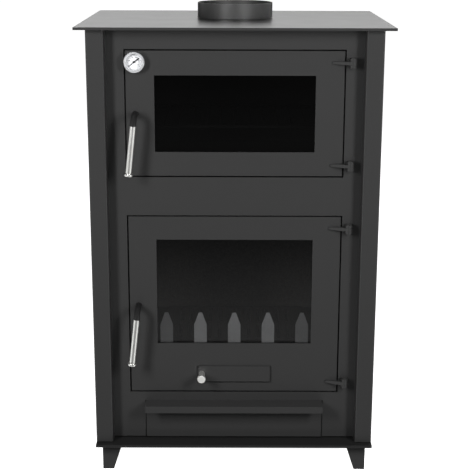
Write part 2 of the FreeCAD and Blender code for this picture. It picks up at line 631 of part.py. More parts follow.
def make_firebox():
    grate_front = f"({FRAME_BACK} + grate_setback)"
    hearth = new_body("hearth_plate", z="hearth_height - hearth_sheet")
    outline = sketch_on(hearth, PLAN)
    draw_rectangle(outline, f"-{CHAMBER_HALF}", FRAME_BACK, CHAMBER_HALF, CHAMBER_REAR)
    draw_rectangle(outline, "grate_ledge - grate_width / 2", f"{grate_front} + grate_ledge",
                   "grate_width / 2 - grate_ledge", f"{grate_front} + grate_depth - grate_ledge")
    raise_from(outline, "hearth_sheet")

    grate = new_body("fire_grate", y=grate_front, z="hearth_height")
    outline = sketch_on(grate, PLAN)
    draw_rectangle(outline, "-grate_width / 2", "0", "grate_width / 2", "grate_depth")
    raise_from(outline, "grate_thickness")
    slots = sketch_on(grate, PLAN)
    left = "(-slot_pitch * (slot_count - 1) / 2 - slot_width / 2)"
    middle = "(grate_depth / 2)"
    right = f"({left} + slot_width)"
    draw_rectangle(slots, left, "slot_margin", right, f"{middle} - slot_margin / 2")
    draw_rectangle(slots, left, f"{middle} + slot_margin / 2", right, "grate_depth - slot_margin")
    first = cut_into(slots, "grate_thickness")
    repeat(first, slots, "slot_pitch * (slot_count - 1)", "slot_count")

    heights = ("hearth_height", "hearth_height + brick_height")
    inner = f"({CHAMBER_HALF} - brick_thickness)"
    side_depth = (f"{FRAME_BACK} + brick_setback", CHAMBER_REAR)
    rear_depth = (f"{CHAMBER_REAR} - brick_thickness", CHAMBER_REAR)
    bricks = [block("rear_firebrick", (f"-{inner}", inner), rear_depth, heights)]
    for name, side in (("left", -1), ("right", 1)):
        limits = sorted((f"{side} * {inner}", f"{side} * {CHAMBER_HALF}"), key=value)
        bricks.append(block(f"{name}_firebrick", limits, side_depth, heights))
    top = value(heights[1])
    for brick in bricks:
        soften(brick, "brick_chamfer", lambda e: lies_at(e, "Z", top), "Chamfer")

    guard = new_body("log_guard", y=f"{FRAME_BACK} + guard_setback", z="hearth_height")
    rail = sketch_on(guard, FRONT)
    draw_rectangle(rail, "-guard_width / 2", "0", "guard_width / 2", "guard_rail")
    raise_from(rail, "guard_sheet")
    foot = sketch_on(guard, PLAN)
    draw_rectangle(foot, "-guard_width / 2", "0", "guard_width / 2", "guard_foot")
    raise_from(foot, "guard_sheet")
    picket = sketch_on(guard, FRONT)
    middle = "(-picket_pitch * (picket_count - 1) / 2)"
    draw_polygon(picket, [
        (f"{middle} - picket_width / 2", "guard_sheet"), (f"{middle} + picket_width / 2", "guard_sheet"),
        (f"{middle} + picket_width / 2", "picket_shoulder"), (f"{middle} + picket_tip / 2", "picket_height"),
        (f"{middle} - picket_tip / 2", "picket_height"), (f"{middle} - picket_width / 2", "picket_shoulder"),
    ])
    first = raise_from(picket, "guard_sheet")
    repeat(first, picket, "picket_pitch * (picket_count - 1)", "picket_count")


def make_ash_drawer():
    """A folded front that lies over the panel's notch, the tray behind it and its two runners."""
    back = f"({PANEL_FACE} - drawer_seat)"
    front = new_body("ash_drawer_front", "-drawer_width / 2", back)
    profile = sketch_on(front, SIDE)
    lip_back = "(drawer_sheet - lip_reach)"
    lip_under = "(drawer_top - drawer_sheet)"
    draw_polygon(profile, [
        ("0", DRAWER_BOTTOM), ("0", "drawer_top"), ("-lip_reach", "drawer_top"),
        ("-lip_reach", "drawer_top - lip_drop"), (lip_back, "drawer_top - lip_drop"), (lip_back, lip_under),
        ("-drawer_sheet", lip_under), ("-drawer_sheet", DRAWER_BOTTOM),
    ])
    raise_from(profile, "drawer_width")
    top, nose = value("drawer_top"), value("-lip_reach")
    soften(front, "edge_round", lambda e: lies_at(e, "Z", top) and lies_at(e, "Y", nose))

    tray = new_body("ash_drawer_tray", y=back, z=TRAY_BOTTOM)
    outline = sketch_on(tray, PLAN)
    draw_rectangle(outline, "-tray_width / 2", "0", "tray_width / 2", "tray_depth")
    raise_from(outline, f"tray_top - {TRAY_BOTTOM}")
    hollow = sketch_on(tray, PLAN, "tray_sheet")
    draw_rectangle(hollow, "tray_sheet - tray_width / 2", "tray_sheet", "tray_width / 2 - tray_sheet",
                   "tray_depth - tray_sheet")
    cut_into(hollow, f"tray_top - {TRAY_BOTTOM}")

    inner = "(tray_width / 2 + runner_room)"
    for name, side in (("left", -1), ("right", 1)):
        runner = new_body(f"{name}_drawer_runner", f"{side} * {inner}", PANEL_BACK, BASE_TOP)
        angle = sketch_on(runner, FRONT)
        draw_polygon(angle, [(f"{side} * runner_sheet", "0"), (f"{side} * runner_sheet", "runner_height"),
                             ("0", "runner_height"), ("0", "runner_sheet"),
                             (f"{-side} * runner_foot", "runner_sheet"), (f"{-side} * runner_foot", "0")])
        raise_from(angle, f"{CHAMBER_REAR} - {PANEL_BACK}")


def make_door(door):
    """A flush door plate with its glass, gasket, clips and rope seal."""
    height = f"{door}_door_height"
    at = {"y": PANEL_FACE, "z": f"{door}_door_bottom"}
    win_high = f"({height} - window_drop)"
    win_low = f"({win_high} - {door}_window_height)"

    def window_and(sketch, lap):
        draw_rectangle(sketch, f"-window_width / 2 - {lap}", f"{win_low} - {lap}",
                       f"window_width / 2 + {lap}", f"{win_high} + {lap}")

    plate = new_body(f"{door}_door_plate", **at)
    outline = sketch_on(plate, FRONT)
    draw_rectangle(outline, "-door_width / 2", "0", "door_width / 2", height)
    window_and(outline, "0")
    draw_circle(outline, SPINDLE_X, f"{height} / 2", "spindle_radius + spindle_clearance")
    if door == "oven":
        draw_circle(outline, GAUGE_X, f"{height} - gauge_drop", "probe_radius + probe_clearance")
    else:
        side = "(stem_radius + stem_room)"
        level = "(slide_centre - fire_door_bottom)"
        draw_rectangle(outline, f"{KNOB_X} - {side}", f"{level} - {side}",
                       f"{KNOB_X} + pin_spacing + slide_travel + {side}", f"{level} + {side}")
    raise_from(outline, "door_sheet")
    long_edge = value("slide_width")
    soften(plate, "edge_round", lambda e: lies_at(e, "Y", 0) and e.Length > long_edge)

    gasket = new_body(f"{door}_glass_gasket", **at)
    ring = sketch_on(gasket, FRONT, "door_sheet")
    window_and(ring, "0")
    window_and(ring, "gasket_width")
    raise_from(ring, "gasket_thickness")

    glass = new_body(f"{door}_door_glass", **at)
    pane = sketch_on(glass, FRONT, "door_sheet + gasket_thickness")
    window_and(pane, "glass_lap")
    raise_from(pane, "glass_thickness")

    clips = []
    rows = (("lower", -1, f"{win_low} - glass_lap"), ("upper", 1, f"{win_high} + glass_lap"))
    for name, sign, edge in rows:
        for column in (-1, 0, 1):
            left = f"{column} * clip_pitch - clip_width / 2"
            clips.append(make_clip(f"{door}_{name}_clip_{column + 2}", sign, left, f"{at['z']} + {edge}"))
    new_group(f"{door}_glass_clips", clips)

    seal = new_body(f"{door}_door_seal", **at)
    rope = sketch_on(seal, FRONT, "door_sheet")
    for inset in ("seal_room", "(seal_room + seal_width)"):
        side = f"(door_width / 2 - {inset})"
        draw_rectangle(rope, f"-{side}", inset, side, f"{height} - {inset}")
    raise_from(rope, "seal_space - seal_room")
    corner = value("door_width / 2 - seal_room")
    soften(seal, "seal_width", lambda e: lies_along_y(e) and abs(abs(e.BoundBox.XMin) - corner) < SAME)
    back = value("door_sheet + seal_space - seal_room")
    soften(seal, "seal_round", lambda e: lies_at(e, "Y", back))


def lies_along_y(edge):
    return edge.BoundBox.XLength + edge.BoundBox.ZLength < SAME


def make_clip(label, sign, x, z):
    """A stepped strip from the door's back over the edge of the glass."""
    clip = new_body(label, x, PANEL_FACE, z, kept=False)
    strip = sketch_on(clip, SIDE)
    glass_back = "(door_sheet + gasket_thickness + glass_thickness)"
    clip_back = f"({glass_back} + clip_sheet)"
    foot_back = "(door_sheet + clip_sheet)"
    section = [
        ("door_sheet", "clip_room"), (glass_back, "clip_room"), (glass_back, "-clip_reach"),
        (clip_back, "-clip_reach"), (clip_back, "clip_room + clip_sheet"),
        (foot_back, "clip_room + clip_sheet"), (foot_back, "clip_room + clip_foot"),
        ("door_sheet", "clip_room + clip_foot"),
    ]
    draw_polygon(strip, [(y, f"{sign} * ({rise})") for y, rise in section])
    raise_from(strip, "clip_width")
    return clip


def make_hinges():
    """Brackets on the front panel, pins through them, and pointed arms on the doors."""
    brackets, pins = [], []
    for door in ("oven", "fire"):
        arms = []
        for level, z in (("lower", f"{door}_door_bottom + hinge_inset"),
                         ("upper", f"{door}_door_bottom + {door}_door_height - hinge_inset")):
            spot = (HINGE_X, HINGE_Y, z)
            brackets.append(make_bracket(f"{door}_{level}_bracket", spot))
            pins.append(make_pin(f"{door}_{level}_pin", spot))
            arms.append(make_arm(f"{door}_{level}_arm", spot))
        new_group(f"{door}_hinge_arms", arms)
    new_group("hinge_brackets", brackets)
    new_group("hinge_pins", pins)


def make_bracket(label, spot):
    body = new_body(label, *spot, kept=False)
    foot = sketch_on(body, PLAN, "-hinge_height / 2")
    draw_rectangle(foot, "-knuckle_radius", "0", "knuckle_radius", "hinge_proud")
    raise_from(foot, "hinge_height")
    barrel = sketch_on(body, PLAN, "-hinge_height / 2")
    draw_circle(barrel, "0", "0", "knuckle_radius")
    raise_from(barrel, "hinge_height")
    slot = sketch_on(body, FRONT, "knuckle_radius + eye_room")
    half = "(eye_height / 2 + eye_room)"
    draw_rectangle(slot, "-2 * knuckle_radius", f"-{half}", "2 * knuckle_radius", half)
    cut_into(slot, "3 * knuckle_radius", forward=False)
    bore(body, "-hinge_height / 2", "hinge_height")
    return body


def bore(body, bottom, length):
    hole = sketch_on(body, PLAN, bottom)
    draw_circle(hole, "0", "0", "pin_radius + pin_clearance")
    cut_into(hole, length)


def make_pin(label, spot):
    body = new_body(label, *spot, kept=False)
    shank = sketch_on(body, PLAN, "-hinge_height / 2")
    draw_circle(shank, "0", "0", "pin_radius")
    raise_from(shank, "hinge_height")
    head = sketch_on(body, PLAN, "hinge_height / 2")
    draw_circle(head, "0", "0", "(pin_radius + knuckle_radius) / 2")
    raise_from(head, "pin_head")
    return body


def make_arm(label, spot):
    body = new_body(label, *spot, kept=False)
    wedge = sketch_on(body, PLAN, "-eye_height / 2")
    draw_polygon(wedge, [
        ("-arm_length", "hinge_proud"), ("arm_foot - arm_length", "hinge_proud"),
        ("-2 * knuckle_radius", "knuckle_radius"), ("0", "knuckle_radius"), ("0", "-knuckle_radius"),
        ("-arm_length", "hinge_proud - arm_tip"),
    ])
    raise_from(wedge, "eye_height")
    eye = sketch_on(body, PLAN, "-eye_height / 2")
    draw_circle(eye, "0", "0", "knuckle_radius")
    raise_from(eye, "eye_height")
    bore(body, "-eye_height / 2", "eye_height")
    shoulder = "(arm_foot - arm_length)"
    for sign in (-1, 1):
        point = sketch_on(body, FRONT, "hinge_proud")
        draw_polygon(point, [
            ("-arm_length", f"{sign} * eye_height"), ("-arm_length", f"{sign} * arm_point / 2"),
            (shoulder, f"{sign} * eye_height / 2"), (shoulder, f"{sign} * eye_height"),
        ])
        cut_into(point, "3 * hinge_proud", forward=False)
    return body


def make_handle(door):
    """A bent rod through the door, with a sleeve grip, its end cap and the latch cam."""
    spot = (SPINDLE_X, PANEL_FACE, f"{door}_door_bottom + {door}_door_height / 2")
    cam_front = f"({FRAME_BACK} - {PANEL_FACE} + cam_room)"
    inner_end = f"({cam_front} + cam_sheet)"

    def handle_body(name):
        body = new_body(f"{door}_{name}", *spot)
        body.Placement.Rotation = FreeCAD.Rotation(FreeCAD.Vector(0, 1, 0), value("handle_tilt"))
        bind(body, "Placement.Rotation.Angle", "handle_tilt")
        return body

    stem = handle_body("handle_stem")
    rod = sketch_on(stem, FRONT, "handle_bend - handle_reach")
    draw_circle(rod, "0", "0", "spindle_radius")
    raise_from(rod, f"{inner_end} + handle_reach - handle_bend")
    elbow = sketch_on(stem, FRONT, "handle_bend - handle_reach")
    bind(elbow, "AttachmentOffset.Base.y", "-handle_bend")
    draw_circle(elbow, "0", "handle_bend", "spindle_radius")
    quarter = stem.newObject("PartDesign::Revolution", "elbow")
    quarter.Profile = elbow
    quarter.ReferenceAxis = (elbow, ["H_Axis"])
    quarter.Angle = 90
    doc.recompute()
    drop = sketch_on(stem, PLAN, "-handle_bend")
    draw_circle(drop, "0", "-handle_reach", "spindle_radius")
    raise_from(drop, "grip_start - handle_bend", forward=False)
    tang = sketch_on(stem, PLAN, "-grip_start")
    draw_circle(tang, "0", "-handle_reach", "tang_radius")
    raise_from(tang, "grip_length", forward=False)

    grip = handle_body("handle_grip")
    tube = sketch_on(grip, PLAN, "-grip_start")
    draw_circle(tube, "0", "-handle_reach", "grip_radius")
    draw_circle(tube, "0", "-handle_reach", "tang_radius + tang_clearance")
    raise_from(tube, "grip_length", forward=False)

    cap = handle_body("handle_cap")
    disc = sketch_on(cap, PLAN, "-grip_start - grip_length")
    draw_circle(disc, "0", "-handle_reach", "cap_radius")
    raise_from(disc, "cap_height", forward=False)
    radius = value("cap_radius")
    soften(cap, "cap_round", lambda e: e.BoundBox.XLength > radius)

    cam = handle_body("latch_cam")
    hub = sketch_on(cam, FRONT, cam_front)
    draw_circle(hub, "0", "0", "cam_radius")
    raise_from(hub, "cam_sheet")
    finger = sketch_on(cam, FRONT, cam_front)
    finger_end = f"cam_room - ({MOUTH_HALF} + {SPINDLE_X})"
    draw_rectangle(finger, finger_end, "-cam_finger / 2", "0", "cam_finger / 2")
    raise_from(finger, "cam_sheet")
    hole = sketch_on(cam, FRONT, cam_front)
    draw_circle(hole, "0", "0", "spindle_radius + tang_clearance")
    cut_into(hole, "cam_sheet")


def make_thermometer():
    """A dial thermometer on the oven door: turned case with its probe, dial, lens and needle."""
    spot = (GAUGE_X, PANEL_FACE, "oven_door_bottom + oven_door_height - gauge_drop")
    inside = "(gauge_radius - 2 * gauge_wall)"
    lip = "(gauge_lip - gauge_depth)"
    hole = "(arbor_radius + arbor_clearance)"
    case = new_body("thermometer_case", *spot)
    profile = sketch_on(case, PLAN)
    draw_polygon(profile, [
        ("0", "probe_length"), ("probe_radius", "probe_length"), ("probe_radius", "0"), (inside, "0"),
        ("gauge_radius - gauge_wall", "-gauge_wall"),
        ("gauge_radius - gauge_wall", "rim_height - gauge_depth"),
        ("gauge_radius", "rim_height - gauge_depth"), ("gauge_radius", "gauge_wall / 2 - gauge_depth"),
        ("gauge_radius - gauge_wall / 2", "-gauge_depth"), (f"{inside} - gauge_lip", "-gauge_depth"),
        (f"{inside} - gauge_lip", lip), (inside, lip), (inside, "-gauge_floor"), (hole, "-gauge_floor"),
        (hole, "arbor_length - gauge_floor"), ("0", "arbor_length - gauge_floor"),
    ])
    turn(profile)

    dial = new_body("thermometer_dial", *spot)
    disc = sketch_on(dial, FRONT, "-gauge_floor")
    draw_circle(disc, "0", "0", f"{inside} - gauge_room")
    draw_circle(disc, "0", "0", hole)
    raise_from(disc, "dial_sheet", forward=False)

    lens = new_body("thermometer_lens", *spot)
    pane = sketch_on(lens, FRONT, lip)
    draw_circle(pane, "0", "0", f"{inside} - gauge_room")
    raise_from(pane, "lens_thickness")

    needle = new_body("thermometer_needle", *spot)
    needle.Placement.Rotation = FreeCAD.Rotation(FreeCAD.Vector(0, 1, 0), value("-needle_angle"))
    bind(needle, "Placement.Rotation.Angle", "-needle_angle")
    level = "(-gauge_floor - dial_sheet - needle_lift)"
    blade = sketch_on(needle, FRONT, level)
    draw_polygon(blade, [
        ("-needle_length", "-needle_tip / 2"), ("0", "-needle_neck / 2"),
        ("needle_tail", "-needle_width / 2"), ("needle_tail", "needle_width / 2"),
        ("0", "needle_neck / 2"), ("-needle_length", "needle_tip / 2"),
    ])
    raise_from(blade, "needle_sheet", forward=False)
    hub = sketch_on(needle, FRONT, f"{level} + needle_lift / 2")
    draw_circle(hub, "0", "0", "hub_radius")
    raise_from(hub, "needle_lift + needle_sheet", forward=False)
    arbor = sketch_on(needle, FRONT, f"{level} + needle_lift / 2")
    draw_circle(arbor, "0", "0", "arbor_radius")
    raise_from(arbor, "needle_lift / 2 + dial_sheet + arbor_length - gauge_room")


def make_air_slide():
    """A plate that slides over the air slot, carried by the knob's stem and a pin on its keeper."""
    at = {"y": PANEL_FACE, "z": "slide_centre"}
    second = f"({KNOB_X} + pin_spacing)"
    hole = "(stem_radius + pin_clearance)"
    plate = new_body("air_slide_plate", **at)
    outline = sketch_on(plate, FRONT, "-slide_room")
    draw_rectangle(outline, "-slide_width / 2", "-slide_height / 2", "slide_width / 2", "slide_height / 2")
    draw_circle(outline, KNOB_X, "0", hole)
    raise_from(outline, "slide_sheet", forward=False)

    keeper = new_body("air_slide_keeper", **at)
    strip = sketch_on(keeper, FRONT, "door_sheet + slide_room")
    ends = (f"{KNOB_X} - keeper_end", f"{second} + keeper_end")
    draw_rectangle(strip, ends[0], "-keeper_height / 2", ends[1], "keeper_height / 2")
    draw_circle(strip, KNOB_X, "0", hole)
    raise_from(strip, "slide_sheet")
    stud = sketch_on(keeper, FRONT, "door_sheet + slide_room")
    draw_circle(stud, second, "0", "stem_radius")
    raise_from(stud, "door_sheet + 2 * slide_room", forward=False)

    knob = new_body("air_slide_knob", x=KNOB_X, **at)
    shoulder = "(-slide_room - slide_sheet)"
    tip = f"({shoulder} - knob_length)"
    inner_end = "(door_sheet + slide_room + slide_sheet)"
    profile = sketch_on(knob, PLAN)
    cap_back = f"({tip} + knob_cap)"
    draw_polygon(profile, [
        ("0", inner_end), ("stem_radius", inner_end), ("stem_radius", shoulder), ("knob_neck", shoulder),
        ("knob_neck", cap_back), ("knob_radius", cap_back), ("knob_radius", tip), ("0", tip),
    ])
    turn(profile)
    neck_width = value("2 * knob_neck")
    soften(knob, "cap_round", lambda e: e.BoundBox.XLength > neck_width + SAME and e.BoundBox.YLength < SAME)


make_cooking_plate()
make_side_casing("left_side_casing", -1)
make_side_casing("right_side_casing", 1)
make_rear_panel()
make_front_panel()
make_base_and_feet()
make_smoke_chamber()
make_oven()
make_firebox()
make_ash_drawer()
for door in ("oven", "fire"):
    make_door_frame(door)
    make_door(door)
    make_handle(door)
make_hinges()
make_thermometer()
make_air_slide()

doc.recompute()
for thing in doc.Objects:
    if "Invalid" in thing.State or "Error" in thing.State:
        raise RuntimeError(f"{thing.Label} did not build: {thing.State}")
for piece in pieces:
    if piece.Shape.isNull() or not piece.Shape.isValid():
        raise RuntimeError(f"{piece.Label} has no valid shape")

os.makedirs("parts", exist_ok=True)
for piece in pieces:
    piece.Shape.exportStep(f"parts/{piece.Label}.step")
    print(piece.Label, len(piece.Shape.Solids), "solids", round(piece.Shape.Volume / 1000, 2), "cm3")
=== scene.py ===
"""Looks of a wood cookstove: finishes for its solids, its small fittings and a plain studio.

The frame is the part's own, in metres: X to the right seen from the front, Y to the back, Z up.
"""
import json
import math

import bmesh
import bpy
from mathutils import Matrix, Vector


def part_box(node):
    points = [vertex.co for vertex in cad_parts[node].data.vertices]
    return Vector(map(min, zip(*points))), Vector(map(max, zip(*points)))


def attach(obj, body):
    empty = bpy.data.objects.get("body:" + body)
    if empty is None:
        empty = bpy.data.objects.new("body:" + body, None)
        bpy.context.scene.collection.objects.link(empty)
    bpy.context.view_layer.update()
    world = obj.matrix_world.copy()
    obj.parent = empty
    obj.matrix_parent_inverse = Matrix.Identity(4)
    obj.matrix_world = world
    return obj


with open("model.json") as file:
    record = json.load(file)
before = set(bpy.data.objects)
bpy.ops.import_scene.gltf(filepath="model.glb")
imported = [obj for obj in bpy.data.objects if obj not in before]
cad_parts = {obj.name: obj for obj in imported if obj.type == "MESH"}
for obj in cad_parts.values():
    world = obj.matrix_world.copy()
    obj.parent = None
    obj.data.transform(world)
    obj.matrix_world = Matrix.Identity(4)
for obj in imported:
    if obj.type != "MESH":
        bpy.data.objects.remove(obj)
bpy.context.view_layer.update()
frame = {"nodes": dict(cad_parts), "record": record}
nodes = frame["nodes"]

MM = 0.001
QUARTER_TURN = math.pi / 2
IMAGE_SIDE = 470
SENSOR_MM = 36


def linear(hex_colour):
    """Linear RGBA of an sRGB hex colour."""
    channels = [int(hex_colour[place:place + 2], 16) / 255 for place in (1, 3, 5)]
    return [c / 12.92 if c <= 0.04045 else ((c + 0.055) / 1.055) ** 2.4 for c in channels] + [1.0]


def add_node(tree, kind, inputs=None, **settings):
    """A shader node with its settings. Inputs name a socket and give a value or another node's output."""
    node = tree.nodes.new(kind)
    for name, setting in settings.items():
        setattr(node, name, setting)
    for socket, value in (inputs or {}).items():
        if isinstance(value, bpy.types.NodeSocket):
            tree.links.new(value, node.inputs[socket])
        else:
            node.inputs[socket].default_value = value
    return node


def per_mm(size):
    """Texture scale at which one feature of a pattern is this many millimetres wide."""
    return 1000 / size


def per_band(size):
    """Scale of a wave texture at which one of its bands is this many millimetres wide."""
    return per_mm(size) * math.pi / 10


def new_finish(name, colour, roughness, sockets=None):
    """A material with plain values on its shader's sockets, and its node tree and shader."""
    material = bpy.data.materials.new(name)
    material.use_nodes = True
    tree = material.node_tree
    shader = tree.nodes["Principled BSDF"]
    shader.inputs["Base Color"].default_value = linear(colour)
    shader.inputs["Roughness"].default_value = roughness
    for socket, value in (sockets or {}).items():
        shader.inputs[socket].default_value = value
    return material, tree, shader


def grained(name, colour, roughness, grain, depth, sockets=None):
    """A finish with an even grain, whose width and depth are in millimetres.

    The finest grains are drawn several times too wide, because they wouldn't show in the picture otherwise.
    """
    material, tree, shader = new_finish(name, colour, roughness, sockets)
    place = add_node(tree, "ShaderNodeTexCoord").outputs["Object"]
    noise = add_node(tree, "ShaderNodeTexNoise", {"Vector": place, "Scale": per_mm(grain), "Detail": 2.0})
    bump = add_node(tree, "ShaderNodeBump", {"Height": noise.outputs["Fac"], "Distance": depth * MM})
    tree.links.new(bump.outputs["Normal"], shader.inputs["Normal"])
    return material, tree, shader


def heat_paint(name, colour, shiny, dull):
    """Sprayed silicone heat paint on sheet steel: satin neutral black, finely grained and cloudy."""
    material, tree, shader = grained(name, colour, dull, 1.2, 0.012)
    place = add_node(tree, "ShaderNodeTexCoord").outputs["Object"]
    cloud = add_node(tree, "ShaderNodeTexNoise", {"Vector": place, "Scale": per_mm(60), "Detail": 3.0})
    sheen = add_node(tree, "ShaderNodeMapRange",
                     {"Value": cloud.outputs["Fac"], "To Min": shiny, "To Max": dull})
    tree.links.new(sheen.outputs["Result"], shader.inputs["Roughness"])
    return material


def stainless(name, roughness):
    """Turned stainless steel: bright, with faint turning marks that stretch the highlights."""
    material, tree, shader = new_finish(name, "#eeeeeb", roughness, {"Metallic": 1.0})
    place = add_node(tree, "ShaderNodeTexCoord").outputs["Object"]
    rings = add_node(tree, "ShaderNodeTexWave", {"Vector": place, "Scale": per_band(1), "Distortion": 1.0},
                     bands_direction="Z")
    bump = add_node(tree, "ShaderNodeBump", {"Height": rings.outputs["Fac"], "Strength": 0.03,
                                             "Distance": 0.05 * MM})
    tree.links.new(bump.outputs["Normal"], shader.inputs["Normal"])
    return material


def mill_steel(name, dark, light, roughness):
    """Hot-rolled sheet with its mill skin on: dull grey metal, clouded where the skin is thicker."""
    material, tree, shader = new_finish(name, light, roughness, {"Metallic": 0.25})
    place = add_node(tree, "ShaderNodeTexCoord").outputs["Object"]
    cloud = add_node(tree, "ShaderNodeTexNoise", {"Vector": place, "Scale": per_mm(35), "Detail": 5.0})
    tones = {"Factor": cloud.outputs["Fac"], "A": linear(dark), "B": linear(light)}
    tone = add_node(tree, "ShaderNodeMix", tones, data_type="RGBA")
    tree.links.new(tone.outputs["Result"], shader.inputs["Base Color"])
    return material


def fireclay():
    """Pressed dark fireclay: charcoal grey with paler grog specks, quite matt."""
    material, tree, shader = new_finish("pressed_fireclay", "#3a3836", 0.95)
    place = add_node(tree, "ShaderNodeTexCoord").outputs["Object"]
    flakes = add_node(tree, "ShaderNodeTexVoronoi", {"Vector": place, "Scale": per_mm(4)})
    tones = add_node(tree, "ShaderNodeValToRGB", {"Fac": flakes.outputs["Color"]})
    tones.color_ramp.elements[0].color = linear("#302f2e")
    tones.color_ramp.elements[1].color = linear("#403e3c")
    tree.links.new(tones.outputs["Color"], shader.inputs["Base Color"])
    bump = add_node(tree, "ShaderNodeBump", {"Height": flakes.outputs["Distance"], "Strength": 0.4,
                                             "Distance": 0.6 * MM})
    tree.links.new(bump.outputs["Normal"], shader.inputs["Normal"])
    return material


def rope():
    """Braided glass-fibre rope rubbed with graphite: dull black strands that lie across the rope."""
    material, tree, shader = new_finish("graphited_glass_fibre_rope", "#171716", 0.95)
    place = add_node(tree, "ShaderNodeTexCoord").outputs["Object"]
    slant = (0.0, math.radians(45), 0.0)
    turned = add_node(tree, "ShaderNodeMapping", {"Vector": place, "Rotation": slant})
    strands = add_node(tree, "ShaderNodeTexWave",
                       {"Vector": turned.outputs["Vector"], "Scale": per_band(3)})
    bump = add_node(tree, "ShaderNodeBump", {"Height": strands.outputs["Fac"], "Strength": 0.8,
                                             "Distance": 1.0 * MM})
    tree.links.new(bump.outputs["Normal"], shader.inputs["Normal"])
    return material


CASING_BLACK = "#393939"
# A pane lets four fifths of the light through. Its index is raised so that it still reflects as glass does
PANE_GLOSS = {"Alpha": 0.2, "Specular IOR Level": 1.0, "IOR": 2.2}


def make_finishes():
    """Every finish, by the record's name for its slot."""
    return {
        "black_paint": heat_paint("heat_resistant_paint", CASING_BLACK, 0.32, 0.40),
        "stainless_steel": stainless("polished_stainless_steel", 0.36),
        "inner_steel": mill_steel("blued_sheet_steel", "#0d0d0e", "#161616", 0.75),
        "bare_steel": mill_steel("hot_rolled_steel", "#838485", "#949596", 0.6),
        # Sand-cast iron: dark, rough and pitted all over at the size of the sand's grit
        "cast_iron": grained("sand_cast_iron", "#2c2a29", 0.72, 2.5, 0.25, {"Metallic": 0.5})[0],
        "firebrick": fireclay(),
        "rope_seal": rope(),
        # Black enamel fused on wire, dulled by the oven's heat: deep black, uneven and with little gloss
        "rack_enamel": grained("black_enamelled_wire", "#070707", 0.8, 3, 0.03,
                               {"Specular IOR Level": 0.2})[0],
        # Satin nickel on a turned brass case: pale metal whose blasted grain spreads the light evenly
        "gauge_metal": grained("satin_nickel", "#e9eaec", 0.40, 0.5, 0.004, {"Metallic": 1.0})[0],
        # Clear rolled glass ceramic, so thin that it only dims what is behind, with a faint wavy gloss
        "window_glass": grained("glass_ceramic", "#050505", 0.03, 30, 0.02, PANE_GLOSS)[0],
        # Clear lens, ground flat: all but unseen, with a thin gloss
        "lens_glass": new_finish("clear_glass", "#0a0a0a", 0.02, {"Alpha": 0.04})[0],
        # Enamelled dial: flat white with a low gloss and a trace of orange peel
        "dial_white": grained("white_enamel", "#ecedef", 0.45, 1.5, 0.004)[0],
        # Lacquer on the needle and the dial's print: flat black with the dry grain of a sprayed coat
        "needle_black": grained("matt_black_lacquer", "#101010", 0.6, 0.6, 0.004)[0],
        # Zinc plate on pressed steel: pale grey metal with the soft haze of its fine crystals
        "zinc_steel": grained("zinc_plated_steel", "#a9adb0", 0.38, 1.0, 0.01, {"Metallic": 1.0})[0],
    }


finishes = make_finishes()
for subpart in frame["record"]["subparts"]:
    mesh = nodes[subpart["node"]].data
    mesh.materials.clear()
    mesh.materials.append(finishes[subpart["material_slot"]])
# The handles' rods are a flatter black than the casing. The base gets the same darker black as painted
# shade, for the shade on its ledge below the panel; the cooking plate is burnished and the slide's knob is
# left satin
rod_black_and_base_shade = heat_paint("rod_black_and_painted_base_shade", "#262626", 0.46, 0.54)
for name in ("base_plate", "oven_handle_stem", "fire_handle_stem"):
    nodes[name].data.materials[0] = rod_black_and_base_shade
nodes["top_plate"].data.materials[0] = heat_paint("burnished_heat_paint", CASING_BLACK, 0.26, 0.32)
nodes["air_slide_knob"].data.materials[0] = stainless("satin_stainless_steel", 0.6)


def add_piece(name, shape, body, slot):
    """Makes an object of a bmesh that is already in place, and lets it move with a body of the stove."""
    bmesh.ops.recalc_face_normals(shape, faces=shape.faces)
    mesh = bpy.data.meshes.new(name)
    shape.to_mesh(mesh)
    shape.free()
    mesh.materials.append(finishes[slot])
    piece = bpy.data.objects.new(name, mesh)
    bpy.context.scene.collection.objects.link(piece)
    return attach(piece, body)


def middle_of(node):
    low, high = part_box(node)
    return (low + high) / 2


# The dial's printed scale, clockwise from the needle's place at rest
DIAL_START = math.radians(218)
DIAL_SWEEP = math.radians(255)
DIAL_TOP = 500
DIAL_STEP = 20
DIAL_NUMBERED = 100
PRINT_HEIGHT = 0.12 * MM
# Ticks end at one radius, and have a length and a width. The numbers stand on a smaller ring
TICK_RADIUS = 14.4 * MM
NUMBERED_TICK = (2.4 * MM, 0.55 * MM)
PLAIN_TICK = (1.5 * MM, 0.3 * MM)
NUMBER_RADIUS = 9.2 * MM
NUMBER_SIZE = 3.1 * MM


def on_dial(reading, radius):
    """The point of the dial's face for a reading, at a distance from its centre, and its angle."""
    angle = DIAL_START - DIAL_SWEEP * reading / DIAL_TOP
    centre = middle_of("thermometer_dial")
    centre.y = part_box("thermometer_dial")[0].y
    return centre + radius * Vector((math.cos(angle), 0, math.sin(angle))), angle


def add_dial_marks():
    shape = bmesh.new()
    for reading in range(0, DIAL_TOP + 1, DIAL_STEP):
        length, width = PLAIN_TICK if reading % DIAL_NUMBERED else NUMBERED_TICK
        spot, angle = on_dial(reading, TICK_RADIUS - length / 2)
        size = Matrix.Diagonal((length, PRINT_HEIGHT, width, 1))
        turned = Matrix.Translation(spot) @ Matrix.Rotation(-angle, 4, "Y")
        bmesh.ops.create_cube(shape, size=1, matrix=turned @ size)
    add_piece("dial_marks", shape, "oven_door", "needle_black")


